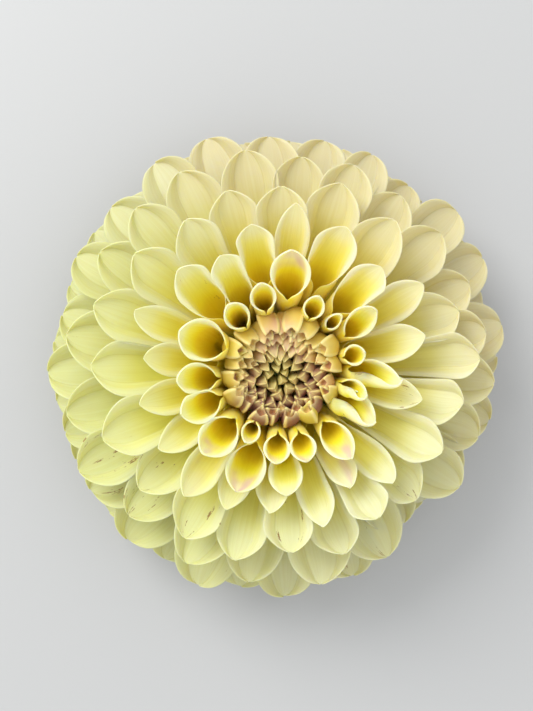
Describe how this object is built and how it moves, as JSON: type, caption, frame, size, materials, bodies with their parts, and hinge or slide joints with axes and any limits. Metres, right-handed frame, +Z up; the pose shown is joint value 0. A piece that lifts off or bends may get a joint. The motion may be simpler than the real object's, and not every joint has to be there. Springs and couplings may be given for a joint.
{
  "type": "dahlia flower",
  "caption": "Cut double dahlia bloom lying on its back, creamy yellow ray florets in rows round a disc of unopened florets.",
  "frame": {"origin": "on the surface that the bloom rests on, straight under its axis", "axes": "+Z up along the flower's axis, from the cut stem to the middle of the disc; +X and +Y lie in the surface"},
  "size_m": [0.1305, 0.1325, 0.0577],
  "materials": {
    "petal": "soft satin petal, pale cream yellow, deeper yellow towards the base",
    "young_petal": "soft satin petal, golden inside with a cream rim",
    "bud": "matte, mauve pink backs with cream edges",
    "bract": "fleshy green, satin",
    "receptacle": "fleshy pale green, satin",
    "stem": "green, satin, paler pith on the cut end"
  },
  "bodies": {
    "root": {"back_florets": "petal", "bud_florets_inner": "bud", "bud_florets_middle": "bud", "bud_florets_outer": "bud", "cup_floret_01": "young_petal", "cup_floret_02": "young_petal", "cup_floret_03": "young_petal", "cup_floret_04": "young_petal", "cup_floret_05": "young_petal", "cup_floret_06": "young_petal", "cup_floret_07": "young_petal", "cup_floret_08": "young_petal", "cup_floret_09": "young_petal", "cup_floret_10": "young_petal", "cup_floret_11": "young_petal", "guard_floret_01": "petal", "guard_floret_02": "petal", "guard_floret_03": "petal", "guard_floret_04": "petal", "guard_floret_05": "petal", "guard_floret_06": "petal", "guard_floret_07": "petal", "guard_floret_08": "petal", "guard_floret_09": "petal", "guard_floret_10": "petal", "guard_floret_11": "petal", "guard_floret_12": "petal", "guard_floret_13": "petal", "guard_floret_14": "petal", "guard_floret_15": "petal", "guard_floret_16": "petal", "guard_floret_17": "petal", "guard_floret_18": "petal", "guard_floret_19": "petal", "guard_floret_20": "petal", "inner_bracts": "bract", "inner_florets": "petal", "middle_florets": "petal", "outer_bract_1": "bract", "outer_bract_2": "bract", "outer_bract_3": "bract", "outer_bract_4": "bract", "outer_bract_5": "bract", "outer_florets": "petal", "receptacle": "receptacle", "rim_florets": "petal", "stem": "stem", "trumpet_floret_01": "young_petal", "trumpet_floret_02": "young_petal", "trumpet_floret_03": "young_petal", "trumpet_floret_04": "young_petal", "trumpet_floret_05": "young_petal", "trumpet_floret_06": "young_petal", "trumpet_floret_07": "young_petal", "trumpet_floret_08": "young_petal", "trumpet_floret_09": "young_petal"}
  },
  "joints": []
}
